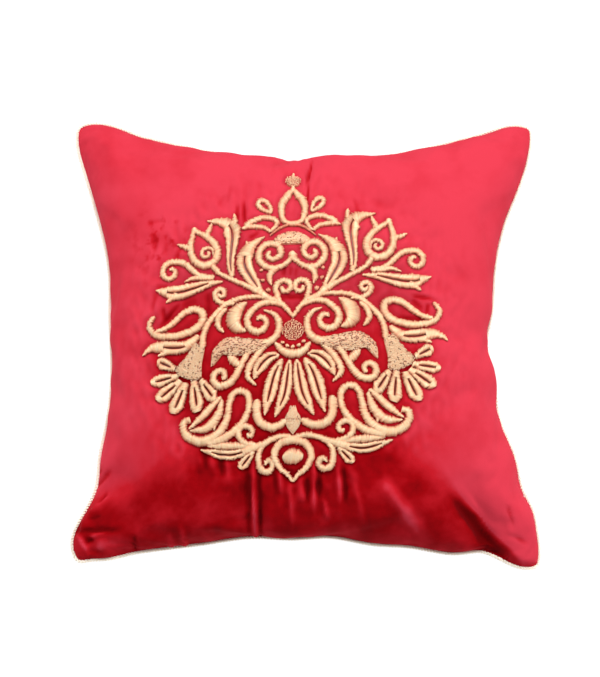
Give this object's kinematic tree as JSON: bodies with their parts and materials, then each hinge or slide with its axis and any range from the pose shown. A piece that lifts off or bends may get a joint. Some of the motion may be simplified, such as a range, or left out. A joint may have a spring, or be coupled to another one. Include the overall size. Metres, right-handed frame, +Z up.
{
  "type": "embroidered cushion",
  "caption": "Square filled velvet cushion with corded piping round its seam and a raised round ornament embroidered in metal thread on its front.",
  "frame": {"origin": "on the surface the cushion lies on, under the middle of its bounding box", "axes": "+Z up, the way the embroidered front faces as the cushion lies on its back; +Y towards its top edge, where the ornament's finial points; +X to the right of someone facing the front"},
  "size_m": [0.4156, 0.4074, 0.1198],
  "materials": {
    "velvet": "velvet pile",
    "cord": "twisted silky cord",
    "metal_thread": "gold-coloured metal thread, raised stitches"
  },
  "bodies": {
    "root": {"filled_cover": "velvet", "piping": "cord", "embroidery_1": "metal_thread", "embroidery_2": "metal_thread", "embroidery_3": "metal_thread", "embroidery_4": "metal_thread", "embroidery_5": "metal_thread", "embroidery_6": "metal_thread", "embroidery_7": "metal_thread", "embroidery_8": "metal_thread", "embroidery_9": "metal_thread", "embroidery_10": "metal_thread", "embroidery_11": "metal_thread", "embroidery_12": "metal_thread", "embroidery_13": "metal_thread", "embroidery_14": "metal_thread", "embroidery_15": "metal_thread", "embroidery_16": "metal_thread", "embroidery_17": "metal_thread", "embroidery_18": "metal_thread", "embroidery_19": "metal_thread", "embroidery_20": "metal_thread", "embroidery_21": "metal_thread", "embroidery_22": "metal_thread", "embroidery_23": "metal_thread", "embroidery_24": "metal_thread", "embroidery_25": "metal_thread", "embroidery_26": "metal_thread", "embroidery_27": "metal_thread", "embroidery_28": "metal_thread", "embroidery_29": "metal_thread", "embroidery_30": "metal_thread", "embroidery_31": "metal_thread", "embroidery_32": "metal_thread", "embroidery_33": "metal_thread", "embroidery_34": "metal_thread", "embroidery_35": "metal_thread", "embroidery_36": "metal_thread", "embroidery_37": "metal_thread", "embroidery_38": "metal_thread", "embroidery_39": "metal_thread", "embroidery_40": "metal_thread", "embroidery_41": "metal_thread", "embroidery_42": "metal_thread", "embroidery_43": "metal_thread", "embroidery_44": "metal_thread", "embroidery_45": "metal_thread", "embroidery_46": "metal_thread", "embroidery_47": "metal_thread", "embroidery_48": "metal_thread", "embroidery_49": "metal_thread", "embroidery_50": "metal_thread", "embroidery_51": "metal_thread"}
  },
  "joints": []
}
